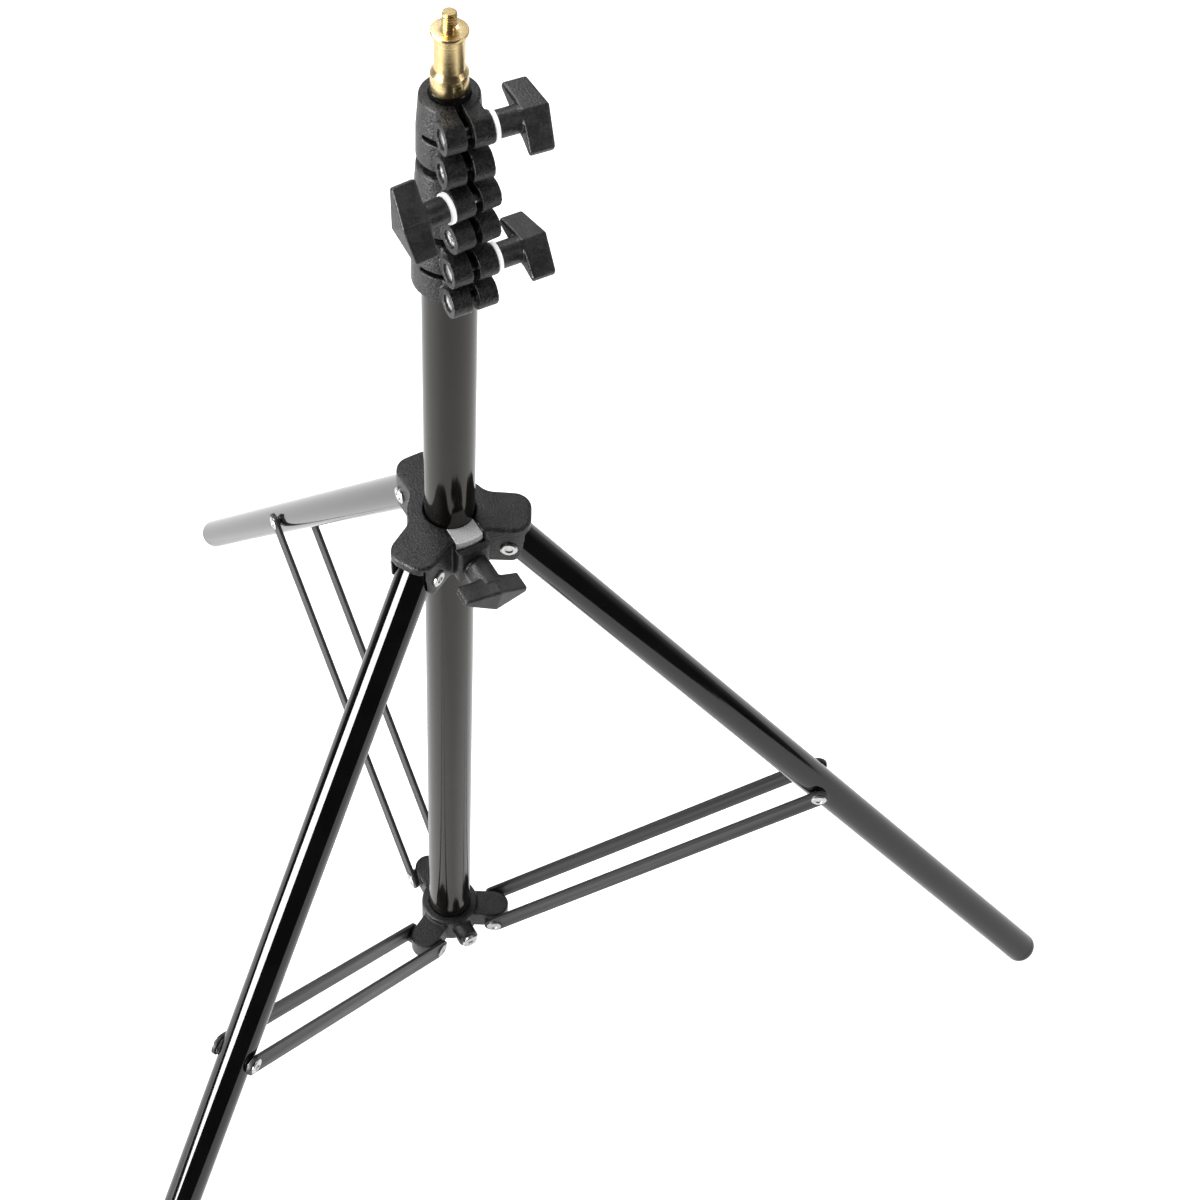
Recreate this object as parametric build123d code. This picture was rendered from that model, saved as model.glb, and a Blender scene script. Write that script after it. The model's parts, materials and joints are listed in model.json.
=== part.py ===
"""Telescoping tripod lighting stand, folded out and run down to its shortest height.

Millimetres, +Z up.  The origin is on the floor, on the mast's axis.  The first leg
points along +X.  A leg's own frame has X pointing away from the mast, Y across the leg
and Z up; a clamp's own frame has X along its bolt, towards the knob.
"""
from build123d import *
import os
from math import asin, atan2, cos, degrees, hypot, radians, sin

os.makedirs("parts", exist_ok=True)

# ---------------------------------------------------------------- driving dimensions
# Mast: four nested tubes, each one step smaller than the tube that holds it.
mast_r = 12.75
wall = 1.1
tube_gap = 0.3
tube_step = wall + tube_gap
tube_r = [mast_r - i * tube_step for i in range(4)]
bore_r = [r - wall for r in tube_r]
mast_foot_z = 24.0
plug_flange = 6.0
plug_spigot = 12.0
foot_plug_cap = 2.5
guide_z = [38.0, 60.0, 82.0]
riser_travel = 440.0
running = 0.05
over = 1.0          # how far a cut runs past the surface it starts from

# Mast collars: a lower clamp fixed on the collar's own tube, an upper clamp for the riser.
collar_low_z = 607.6
collar_pitch = 36.5
clamp_pitch = 18.2
collar_wall = 4.4
ear_reach = [7.5, 6.5, 7.3]
ear_azimuth = [-62.0, -57.0, -66.0]
knob_side = [1, -1, 1]
knob_turn = [12.0, 54.0, 21.0]
boss_r = 7.2
boss_half = 10.9
ear_half = 9.6
slit_width = 3.2
slot_height = 2.5
slot_half_angle = 76.0
collar_below = 6.6
collar_above = 7.7
collar_rim = 0.8
collar_draft = 0.2
seat_drop = 0.5
tube_short = 0.6

# Clamp fasteners (M5 bolt with knob, M4 fixing screw with nut).
bolt_r = 2.5
bolt_head_af = 8.0
bolt_head = 3.6
fix_r = 2.0
fix_head_r = 3.9
fix_head = 2.8
nut_af = 7.0
nut_height = 3.2
washer_r = 7.0
washer_t = 2.0
head_sink = 1.0
hole_clear = 0.25
part_gap = 0.1
cross_length = 4.4
cross_width = 1.0
cross_depth = 1.5

# Wing knob.
hub_r = 6.0
yoke_hub_r = 7.2
wing_inner = 8.6
wing_outer = 19.9
wing_crest = 22.7
wing_half = 16.9
yoke_wing_half = 17.8
wing_root = 13.4
wing_tip = 3.1
wing_round = 1.1
wing_waist = 0.4
wing_neck = 1.2
hub_cover = 6.0
insert_r = 3.9
insert_depth = 10.0
insert_start = 0.2
insert_end_gap = 0.4

# Top stud: 16 mm spigot with a 1/4 inch threaded tip.
stud_r = 8.0
stud_groove_r = 6.5
stud_flange_r = 7.9
stud_tip_r = 3.175
stud_neck_r = 2.5
riser_top_z = 709.3
stud_cone_z = 717.3
stud_groove_z = 719.5
stud_flare_z = 735.6
stud_flange_z = 737.0
stud_face_z = 738.4
stud_neck_z = 738.0
stud_thread_z = 740.4
stud_top_z = 747.3
stud_shank = 22.0
stud_tip_cone = 1.5

# Yoke that carries the legs.
yoke_z = 423.0
leg_pivot_r = 30.2
yoke_top = 15.5
yoke_low = 10.0
yoke_web_r = 21.5
yoke_wall_r = 18.3
lobe_end = 41.0
lobe_half = 12.6
cheek_in = 9.9
lobe_corner = 9.0
lobe_fall = 1.9
yoke_edge = 1.6
boss_round = 2.5
web_fillet = 9.0
cavity_top = 12.3
lip_low = 8.5
lip_in = 38.4
lip_slope = 1.6
lip_bend = -6.0
lip_foot = 5.0
skirt = 2.5
clamp_azimuth = -60.0
shoe_out = 22.5
shoe_half = 7.4
shoe_low = 7.8
shoe_top_gap = 0.9
shoe_socket = 2.0
screw_end_gap = 0.2
screw_head_x = 3.0
pocket_gap = 0.3
clamp_back = 1.3
clamp_boss_r = 27.8
clamp_boss_half = 9.0
clamp_boss_top = 12.0
yoke_screw_r = 3.0
yoke_knob_turn = -14.0

# Legs.
leg_angle = 39.05
fold_angle = 36.0
leg_r = 9.5
leg_wall = 1.0
leg_head = 6.0
leg_head_cap = 1.5
leg_head_round = 1.2
leg_cap = 6.0
leg_round = 4.0
leg_spigot = 14.0
leg_count = 3
leg_azimuth = [360.0 / leg_count * i for i in range(leg_count)]

# Rivets.
rivet_r = 3.0
brace_rivet_r = 2.5
rivet_head_r = 4.45
rivet_head = 1.2
rivet_dimple_r = 2.2
rivet_dimple = 0.5
cut_reach = 20.0
pin_clear = 0.06

# Braces: two flat bars a side, from the base collar to each leg.
base_pivot_r = 28.7
base_pivot_z = 34.3
brace_along_leg = 290.9
bar_width = 12.0
bar_t = 2.0
bar_in = 10.4
spacer_in = 9.78

# Base collar.
base_low_z = 24.0
base_top_z = 44.0
base_hub_r = 17.5
base_edge = 1.0
base_lobe_half = 8.6
base_lobe_low = 27.3
base_lobe_top = 41.3
base_boss_r = 5.6
base_boss_face = 10.2
lock_boss_r = 6.4
lock_boss_out = 26.2
lock_head_r = 4.8
lock_head = 2.6
lock_head_round = 1.0

# ---------------------------------------------------------------- derived places
alpha = radians(leg_angle)
leg_length = leg_round + (yoke_z - leg_round - (leg_r - leg_round) * sin(alpha)) / cos(alpha)
brace_top_r = leg_pivot_r + brace_along_leg * sin(alpha)
brace_top_z = yoke_z - brace_along_leg * cos(alpha)
brace_length = hypot(brace_top_r - base_pivot_r, brace_top_z - base_pivot_z)
brace_angle = degrees(atan2(brace_top_r - base_pivot_r, brace_top_z - base_pivot_z))
folded_alpha = radians(leg_angle - fold_angle)
folded_brace_r = leg_pivot_r + brace_along_leg * sin(folded_alpha)
folded_brace = asin((folded_brace_r - base_pivot_r) / brace_length)
yoke_travel = (base_pivot_z + brace_length * cos(folded_brace)
               + brace_along_leg * cos(folded_alpha) - yoke_z)
brace_swing = brace_angle - degrees(folded_brace)
yoke_knob_x = clamp_boss_r + washer_t + 2 * part_gap


# ---------------------------------------------------------------- plain helpers
def rod(radius, low, high):
    """Cylinder on the Z axis between two heights."""
    return Pos(0, 0, (low + high) / 2) * Cylinder(radius, high - low)


def rod_x(radius, low, high):
    return Rot(0, 90, 0) * rod(radius, low, high)


def rod_y(radius, low, high):
    return Rot(-90, 0, 0) * rod(radius, low, high)


def tube(outer, inner, low, high):
    return rod(outer, low, high) - rod(inner, low - over, high + over)


def block(x_low, x_high, y_half, z_low, z_high):
    """Box that is symmetric across Y."""
    centre = Pos((x_low + x_high) / 2, 0, (z_low + z_high) / 2)
    return centre * Box(x_high - x_low, 2 * y_half, z_high - z_low)


def hexagon_x(across_flats, low, high):
    """Hexagonal prism along X."""
    side = RegularPolygon(across_flats / 2, 6, major_radius=False)
    return Pos(low, 0, 0) * Rot(0, 90, 0) * extrude(side, high - low)


def revolve_z(points):
    """Solid of revolution about Z from a closed outline of (radius, height) points."""
    outline = make_face(Polyline(*[(r, 0, z) for r, z in points], close=True))
    return revolve(outline, Axis.Z)


def prism_y(points, half):
    """Solid with a closed outline of (x, z) points, symmetric across Y."""
    outline = make_face(Polyline(*[(x, 0, z) for x, z in points], close=True))
    return extrude(outline, half, both=True, dir=(0, 1, 0))


def turned(azimuth):
    return Rot(0, 0, azimuth)


def save(name, shape):
    export_step(shape, f"parts/{name}.step")


# ---------------------------------------------------------------- mast
def end_plug(outer, spigot, low):
    """Plug with a flange below the tube's end and a spigot pushed up inside it."""
    shoulder = low + plug_flange
    return rod(outer, low, shoulder) + rod(spigot, shoulder, shoulder + plug_spigot)


def collar_mid(i):
    return collar_low_z + i * collar_pitch + clamp_pitch / 2


def mast_tube(i):
    low = mast_foot_z if i == 0 else guide_z[i - 1] + plug_flange
    high = riser_top_z if i == 3 else collar_mid(i) - slot_height / 2 - tube_short
    return tube(tube_r[i], bore_r[i], low, high)


def mast_collar(i):
    """Clamp collar in its own frame: the ears point along -Y, the bolts lie along X."""
    low_z = collar_low_z + i * collar_pitch
    high_z = low_z + clamp_pitch
    mid_z = low_z + clamp_pitch / 2
    bottom = low_z - collar_below
    top = high_z + collar_above
    ear_y = tube_r[i] + ear_reach[i]
    low_r = tube_r[i] + collar_wall
    top_r = tube_r[i + 1] + collar_wall
    body = revolve_z([(0, bottom), (low_r - collar_rim, bottom), (low_r, bottom + collar_rim),
                      (low_r - collar_draft, mid_z), (top_r, top - collar_rim),
                      (top_r - collar_rim, top), (0, top)])
    for z in (low_z, high_z):
        body += Pos(0, -ear_y / 2, z) * Box(2 * ear_half, ear_y, 2 * boss_r)
        body += Pos(0, -ear_y, z) * rod_x(boss_r, -boss_half, boss_half)
    seat = mid_z - slot_height / 2 - seat_drop
    body -= rod(tube_r[i], bottom - over, seat)
    body -= rod(tube_r[i + 1] + running, seat - over, top + over)
    slit_y = ear_y + boss_r + over
    height = top - bottom
    body -= Pos(0, -slit_y / 2, (bottom + top) / 2) * Box(slit_width, slit_y, height + 2 * over)
    # Slot between the two clamps, part of the way round, and its flare between the ears.
    slot_r = low_r + over
    sector = Pos(0, 0, mid_z) * rod(slot_r, -slot_height / 2, slot_height / 2)
    behind = Pos(0, slot_r - cos(radians(slot_half_angle)) * low_r, mid_z)
    body -= sector - behind * Box(4 * slot_r, 2 * slot_r, slot_height + 2 * over)
    gap = clamp_pitch - 2 * boss_r
    between = Pos(0, -ear_y - boss_r / 2, mid_z)
    body -= between * Box(4 * boss_half, 2 * boss_r - 2 * over, gap)
    # Bolt hole with its hexagonal pocket, and screw hole with its nut pocket.
    bolt = Pos(0, -ear_y, high_z) * Rot(0, 0, 0 if knob_side[i] > 0 else 180)
    face = boss_half + over
    bolt_seat = -boss_half + head_sink + bolt_head + part_gap
    fix_seat = -boss_half + head_sink + fix_head + part_gap
    body -= bolt * rod_x(bolt_r + hole_clear, -face, face)
    body -= bolt * hexagon_x(bolt_head_af + 2 * part_gap, -face, bolt_seat)
    fixing = Pos(0, -ear_y, low_z)
    body -= fixing * rod_x(fix_r + hole_clear, -face, face)
    body -= fixing * rod_x(fix_head_r + part_gap, -face, fix_seat)
    body -= fixing * hexagon_x(nut_af + 2 * part_gap, boss_half - nut_height, face)
    return turned(ear_azimuth[i] + 90) * body


def clamp_place(i):
    """Where the knob's bolt lies, with X towards the knob."""
    ear_y = tube_r[i] + ear_reach[i]
    high_z = collar_low_z + i * collar_pitch + clamp_pitch
    flip = 0 if knob_side[i] > 0 else 180
    return turned(ear_azimuth[i] + 90) * Pos(0, -ear_y, high_z) * Rot(0, 0, flip)


def fixing_place(i):
    ear_y = tube_r[i] + ear_reach[i]
    return turned(ear_azimuth[i] + 90) * Pos(0, -ear_y, collar_low_z + i * collar_pitch)


def clamp_bolt():
    """Hexagon-head bolt whose far end is inside the knob."""
    head_start = -boss_half + head_sink
    head_end = head_start + bolt_head
    far_end = boss_half + washer_t + insert_depth
    return hexagon_x(bolt_head_af, head_start, head_end) + rod_x(bolt_r, head_end, far_end)


def clamp_washer():
    low = boss_half + part_gap
    high = low + washer_t
    return rod_x(washer_r, low, high) - rod_x(bolt_r + hole_clear, low - over, high + over)


def fixing_screw():
    head_start = -boss_half + head_sink
    head_end = head_start + fix_head
    head = rod_x(fix_head_r, head_start, head_end)
    for angle in (0, 90):
        cross = Rot(angle, 0, 0) * Pos(head_start, 0, 0)
        head -= cross * Box(2 * cross_depth, cross_length, cross_width)
    return head + rod_x(fix_r, head_end, boss_half - part_gap)


def fixing_nut():
    low = boss_half - nut_height + part_gap
    high = boss_half - 2 * part_gap
    return hexagon_x(nut_af, low, high) - rod_x(fix_r + running / 2, low - over, high + over)


# ---------------------------------------------------------------- knobs
def knob_body(hub, half):
    """Wing knob along X, starting at X = 0: a round hub and two blades that thin outwards."""
    root = hub + wing_waist
    neck = wing_inner + wing_neck
    outline = [(neck, -root), (wing_inner, -half), (wing_outer, -half),
               (wing_crest, 0), (wing_outer, half), (wing_inner, half), (neck, root)]
    plan = Pos(0, 0, -wing_root / 2) * extrude(make_face(Polyline(*outline, close=True)), wing_root)
    half_root = wing_root / 2
    half_tip = wing_tip / 2
    edge = half + part_gap
    section = [(-edge, -half_tip), (0, -half_root), (edge, -half_tip),
               (edge, half_tip), (0, half_root), (-edge, half_tip)]
    profile = make_face(Polyline(*[(0, y, z) for y, z in section], close=True))
    wing = plan & extrude(profile, wing_crest + over, dir=(1, 0, 0))
    wing = fillet(wing.edges(), wing_round)
    return wing + rod_x(hub, 0, wing_inner + hub_cover)


def clamp_knob():
    return knob_body(hub_r, wing_half) - rod_x(insert_r, -over, insert_depth + insert_end_gap)


def knob_insert():
    far_end = insert_depth + insert_start
    return rod_x(insert_r, insert_start, far_end) - rod_x(bolt_r + running, -over, far_end + over)


def knob_start():
    return Pos(boss_half + part_gap + washer_t + part_gap, 0, 0)


# ---------------------------------------------------------------- stud
def top_stud():
    """Brass stud: spigot in the top tube, 16 mm body, groove, flange, threaded tip."""
    shank_r = bore_r[3] - 0.02
    low = riser_top_z - stud_shank
    bevel = stud_tip_r - stud_neck_r
    return revolve_z([
        (0, low), (shank_r, low), (shank_r, riser_top_z), (stud_r, riser_top_z),
        (stud_r, stud_cone_z), (stud_groove_r, stud_groove_z), (stud_groove_r, stud_flare_z),
        (stud_flange_r, stud_flange_z), (stud_flange_r, stud_face_z - bevel / 2),
        (stud_flange_r - bevel / 2, stud_face_z), (stud_tip_r + bevel, stud_face_z),
        (stud_neck_r, stud_neck_z), (stud_neck_r, stud_thread_z - bevel),
        (stud_tip_r, stud_thread_z), (stud_tip_r, stud_top_z - stud_tip_cone),
        (stud_tip_r - stud_tip_cone, stud_top_z), (0, stud_top_z)])


# ---------------------------------------------------------------- yoke
def yoke_casting():
    """Three-lobed slider, made about its own pivot height."""
    plan = Circle(yoke_web_r)
    for azimuth in leg_azimuth:
        plan += turned(azimuth) * Pos(lobe_end / 2, 0) * Rectangle(lobe_end, 2 * lobe_half)
    concave = [v for v in plan.vertices() if Vector(v).length < yoke_web_r + over]
    plan = fillet(concave, web_fillet)
    corners = [v for v in plan.vertices() if Vector(v).length > lobe_end]
    plan = fillet(corners, lobe_corner)
    body = Pos(0, 0, -yoke_low) * extrude(plan, yoke_top + yoke_low)
    # The top falls away outwards as a shallow cone, and its rim is rounded.
    body -= revolve_z([(yoke_wall_r, yoke_top), (2 * lobe_end, yoke_top - 2 * lobe_fall),
                       (2 * lobe_end, yoke_top + over), (yoke_wall_r, yoke_top + over)])
    slope = body.faces().filter_by(GeomType.CONE)[0]
    body = fillet(slope.outer_wire().edges(), yoke_edge)
    boss = block(0, clamp_boss_r, clamp_boss_half, -yoke_low + over, clamp_boss_top)
    boss = fillet(boss.edges().filter_by(Axis.Z).sort_by(Axis.X)[-2:], boss_round)
    body += turned(clamp_azimuth) * boss
    past = lobe_end + over
    bottom = -yoke_low - over
    relief = prism_y([(past, lip_low), (lip_in, lip_low), (lip_in - lip_slope, lip_bend),
                      (lip_in - lip_foot, -yoke_low), (lip_in - lip_foot, bottom), (past, bottom)],
                     lobe_half + over)
    for azimuth in leg_azimuth:
        body -= turned(azimuth) * relief
        body -= turned(azimuth) * block(yoke_wall_r, lip_in, cheek_in, bottom, cavity_top)
        body -= turned(azimuth) * Pos(leg_pivot_r, 0, 0) * rod_y(rivet_r, -cut_reach, cut_reach)
    body += tube(yoke_wall_r, mast_r, -yoke_low - skirt, yoke_top - skirt)
    body -= rod(mast_r + tube_gap, -yoke_low - skirt - over, yoke_top + over)
    pocket_low = -shoe_low - pocket_gap
    pocket = block(0, shoe_out + clamp_back, shoe_half + pocket_gap, pocket_low, yoke_top + over)
    body -= turned(clamp_azimuth) * pocket
    body -= turned(clamp_azimuth) * rod_x(yoke_screw_r + pin_clear, 0, clamp_boss_r + over)
    return body


def clamp_shoe():
    """Pressure shoe between the mast and the yoke's wall; the screw's tip sits in its back."""
    shoe = block(0, shoe_out, shoe_half, -shoe_low, yoke_top - shoe_top_gap)
    shoe &= rod(shoe_out, -cut_reach, cut_reach)
    shoe -= rod(mast_r + running, -cut_reach, cut_reach)
    return shoe - rod_x(yoke_screw_r + pin_clear, shoe_out - shoe_socket, shoe_out + over)


def yoke_washer():
    low = clamp_boss_r + part_gap
    high = low + washer_t
    return rod_x(washer_r, low, high) - rod_x(yoke_screw_r + hole_clear, low - over, high + over)


def yoke_knob_screw():
    """Screw moulded into its knob, with a knurled head inside the hub."""
    shank = rod_x(yoke_screw_r, shoe_out - shoe_socket + screw_end_gap, yoke_knob_x + insert_depth)
    return shank + rod_x(insert_r, yoke_knob_x + screw_head_x, yoke_knob_x + insert_depth)


def yoke_knob():
    hollow = rod_x(yoke_screw_r, -over, insert_depth) + rod_x(insert_r, screw_head_x, insert_depth)
    return Pos(yoke_knob_x, 0, 0) * (knob_body(yoke_hub_r, yoke_wing_half) - hollow)


def dimpled_head(face, sign):
    """Rivet head on the +Y or -Y side, from its bearing face outwards."""
    end = face + rivet_head
    head = rod_y(rivet_head_r, face, end) - rod_y(rivet_dimple_r, end - rivet_dimple, end + over)
    return head if sign > 0 else Rot(0, 0, 180) * head


def through_rivet(radius, face):
    return rod_y(radius, -face, face) + dimpled_head(face, 1) + dimpled_head(face, -1)


# ---------------------------------------------------------------- legs
def leg_place(azimuth):
    return turned(azimuth) * Pos(leg_pivot_r, 0, yoke_z) * Rot(0, -leg_angle, 0)


def leg_tube():
    body = tube(leg_r, leg_r - leg_wall, -(leg_length - leg_cap), leg_head)
    return body - rod_y(rivet_r + pin_clear, -cut_reach, cut_reach)


def leg_head_plug():
    """Plug in the leg's top that the yoke's rivet passes through."""
    body = rod(leg_r - leg_wall, -leg_spigot, leg_head)
    cap = rod(leg_r, leg_head, leg_head + leg_head_cap)
    cap = fillet(cap.edges().sort_by(Axis.Z)[-1], leg_head_round)
    return body + cap - rod_y(rivet_r + pin_clear, -cut_reach, cut_reach)


def leg_foot():
    """Rounded end cap with its spigot inside the tube."""
    shoulder = -(leg_length - leg_cap)
    cap = rod(leg_r, -leg_length, shoulder)
    cap = fillet(cap.edges().sort_by(Axis.Z)[0], leg_round)
    return cap + rod(leg_r - leg_wall, shoulder, shoulder + leg_spigot)


# ---------------------------------------------------------------- braces
def brace_place(azimuth):
    """Brace frame: Z runs up the brace from the base collar's rivet."""
    return turned(azimuth) * Pos(base_pivot_r, 0, base_pivot_z) * Rot(0, brace_angle, 0)


def brace_bars():
    slot = SlotCenterToCenter(brace_length, bar_width)
    outline = Pos(0, brace_length / 2) * Rot(0, 0, 90) * slot
    bar = Rot(90, 0, 0) * extrude(outline, bar_t)
    bar -= rod_y(brace_rivet_r + pin_clear, -cut_reach, cut_reach)
    bar -= Pos(0, 0, brace_length) * rod_y(brace_rivet_r, -cut_reach, cut_reach)
    low = bar.bounding_box().min.Y
    return Compound([Pos(0, bar_in - low, 0) * bar, Pos(0, -bar_in - bar_t - low, 0) * bar])


def brace_rivets():
    """The two ends of the rivet that holds the bars at the leg."""
    face = bar_in + bar_t
    halves = []
    for sign in (1, -1):
        low, high = sorted((sign * spacer_in, sign * face))
        half = rod_y(brace_rivet_r, low, high) + dimpled_head(face, sign)
        halves.append(Pos(0, 0, brace_length) * half)
    return Compound(halves)


def brace_spacers():
    rings = []
    for sign in (1, -1):
        low, high = sorted((sign * spacer_in, sign * bar_in))
        ring = rod_y(rivet_head_r, low, high) - rod_y(brace_rivet_r, low - over, high + over)
        rings.append(Pos(0, 0, brace_length) * ring)
    return Compound(rings)


# ---------------------------------------------------------------- base collar
def base_collar():
    body = rod(base_hub_r, base_low_z, base_top_z)
    body = chamfer(body.edges().sort_by(Axis.Z)[-1], base_edge)
    height = base_lobe_top - base_lobe_low
    lobe = Pos(0, 0, base_lobe_low) * extrude(
        Pos(base_pivot_r / 2, 0) * Rectangle(base_pivot_r, 2 * base_lobe_half)
        + Pos(base_pivot_r, 0) * Circle(base_lobe_half), height)
    lobe += Pos(base_pivot_r, 0, base_pivot_z) * rod_y(base_boss_r, -base_boss_face, base_boss_face)
    for azimuth in leg_azimuth:
        body += turned(azimuth) * lobe
    boss = Pos(0, 0, base_pivot_z) * rod_x(lock_boss_r, 0, lock_boss_out)
    body += turned(clamp_azimuth) * boss
    body -= rod(mast_r, base_low_z - over, base_top_z + over)
    for azimuth in leg_azimuth:
        pivot = turned(azimuth) * Pos(base_pivot_r, 0, base_pivot_z)
        body -= pivot * rod_y(brace_rivet_r, -cut_reach, cut_reach)
    lock = turned(clamp_azimuth) * Pos(0, 0, base_pivot_z)
    return body - lock * rod_x(bolt_r, 0, lock_boss_out + over)


def lock_screw():
    """Screw that holds the base collar on the mast."""
    end = lock_boss_out + lock_head
    body = rod_x(bolt_r, mast_r + part_gap, lock_boss_out) + rod_x(lock_head_r, lock_boss_out, end)
    body = fillet(body.edges().sort_by(Axis.X)[-1], lock_head_round)
    for angle in (45, 135):
        cross = Rot(angle, 0, 0) * Pos(end, 0, 0)
        body -= cross * Box(2 * cross_depth, cross_length, cross_width)
    return turned(clamp_azimuth) * Pos(0, 0, base_pivot_z) * body


# ---------------------------------------------------------------- write every piece
save("mast_tube", mast_tube(0))
foot_plug = rod(mast_r, -foot_plug_cap, 0) + rod(bore_r[0], 0, plug_spigot)
save("mast_foot_plug", Pos(0, 0, mast_foot_z) * foot_plug)
save("base_collar", base_collar())
save("base_lock_screw", lock_screw())
base_rivet = Pos(base_pivot_r, 0, base_pivot_z) * through_rivet(brace_rivet_r, bar_in + bar_t)
save("base_rivets", Compound([turned(azimuth) * base_rivet for azimuth in leg_azimuth]))

for i in range(3):
    number = i + 1
    save(f"collar_{number}", mast_collar(i))
    save(f"clamp_bolt_{number}", clamp_place(i) * clamp_bolt())
    save(f"clamp_washer_{number}", clamp_place(i) * clamp_washer())
    save(f"fixing_screw_{number}", fixing_place(i) * fixing_screw())
    save(f"fixing_nut_{number}", fixing_place(i) * fixing_nut())
    knob_at = clamp_place(i) * knob_start() * Rot(knob_side[i] * knob_turn[i], 0, 0)
    save(f"clamp_knob_{number}", knob_at * clamp_knob())
    save(f"knob_insert_{number}", knob_at * knob_insert())
    save(f"riser_tube_{number}", mast_tube(number))
    save(f"riser_guide_{number}", end_plug(bore_r[i] - running, bore_r[number] - running, guide_z[i]))

save("top_stud", top_stud())

yoke_at = Pos(0, 0, yoke_z)
save("yoke_casting", yoke_at * yoke_casting())
yoke_rivet = Pos(leg_pivot_r, 0, yoke_z) * through_rivet(rivet_r, lobe_half)
save("yoke_rivets", Compound([turned(azimuth) * yoke_rivet for azimuth in leg_azimuth]))
screw_at = yoke_at * turned(clamp_azimuth)
save("yoke_clamp_shoe", screw_at * clamp_shoe())
save("yoke_washer", screw_at * yoke_washer())
save("yoke_knob", screw_at * Rot(yoke_knob_turn, 0, 0) * yoke_knob())
save("yoke_knob_screw", screw_at * yoke_knob_screw())

for number, azimuth in enumerate(leg_azimuth, start=1):
    save(f"leg_tube_{number}", leg_place(azimuth) * leg_tube())
    save(f"leg_head_{number}", leg_place(azimuth) * leg_head_plug())
    save(f"leg_foot_{number}", leg_place(azimuth) * leg_foot())
    save(f"brace_bars_{number}", brace_place(azimuth) * brace_bars())
    save(f"brace_rivets_{number}", brace_place(azimuth) * brace_rivets())
    save(f"brace_spacers_{number}", brace_place(azimuth) * brace_spacers())

print(f"leg length {leg_length:.2f}, brace length {brace_length:.2f}, brace angle {brace_angle:.3f}")
print(f"yoke travel {yoke_travel:.3f}, brace swing {brace_swing:.4f} for a leg swing of {fold_angle}")
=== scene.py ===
# %% [markdown]
# # A telescoping tripod stand, as a lesson in Blender
# The stand is a mast of four nested tubes on three folding legs, with wing knobs that clamp
# each tube and a brass stud on top for the lamp. The CAD model fixes every size and place.
# This script gives each piece its moulded, turned or drawn surface and its finish. It
# starts by loading the CAD model, because every later piece takes its place from it.
# %% Load the frame
import json
import math

import bmesh
import bpy
import numpy as np
from mathutils import Matrix, Vector


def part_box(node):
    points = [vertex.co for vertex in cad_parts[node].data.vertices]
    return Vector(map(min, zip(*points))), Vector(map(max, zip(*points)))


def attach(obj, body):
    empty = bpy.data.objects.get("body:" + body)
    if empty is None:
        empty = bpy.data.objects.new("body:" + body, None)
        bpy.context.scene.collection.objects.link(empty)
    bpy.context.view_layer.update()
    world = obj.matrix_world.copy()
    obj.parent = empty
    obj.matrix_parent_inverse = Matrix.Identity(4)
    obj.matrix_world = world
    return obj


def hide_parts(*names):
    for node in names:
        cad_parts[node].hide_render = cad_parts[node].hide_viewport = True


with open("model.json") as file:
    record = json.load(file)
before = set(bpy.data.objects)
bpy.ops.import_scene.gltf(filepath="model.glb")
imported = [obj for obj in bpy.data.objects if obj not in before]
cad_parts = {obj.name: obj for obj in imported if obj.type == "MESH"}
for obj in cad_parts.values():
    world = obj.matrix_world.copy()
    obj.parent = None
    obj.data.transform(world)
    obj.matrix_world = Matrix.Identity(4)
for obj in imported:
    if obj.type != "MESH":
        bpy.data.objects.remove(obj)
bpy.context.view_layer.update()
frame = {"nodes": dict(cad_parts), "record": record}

MM = 0.001
scene = bpy.context.scene

# %% [markdown]
# ## The camera
# The stand is seen from in front and well above its top, through a fairly long lens that
# keeps the tubes nearly parallel. Turning the camera would move the stand off centre but
# also tilt its upright lines, so a lens shift puts it left of the middle instead.
# %% Camera
eye = bpy.data.objects.new("eye", bpy.data.cameras.new("eye"))
scene.collection.objects.link(eye)
eye.location = (0.0285, -0.7262, 1.3365)
eye.rotation_euler = (math.radians(36.705), 0, math.radians(2.249))
eye.data.lens = 69.52
eye.data.sensor_width = 36
eye.data.shift_x = 0.1254
scene.camera = eye
scene.view_settings.view_transform = "Standard"
print("eye", [round(v, 3) for v in eye.location], "lens", round(eye.data.lens, 1), "mm")


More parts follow.
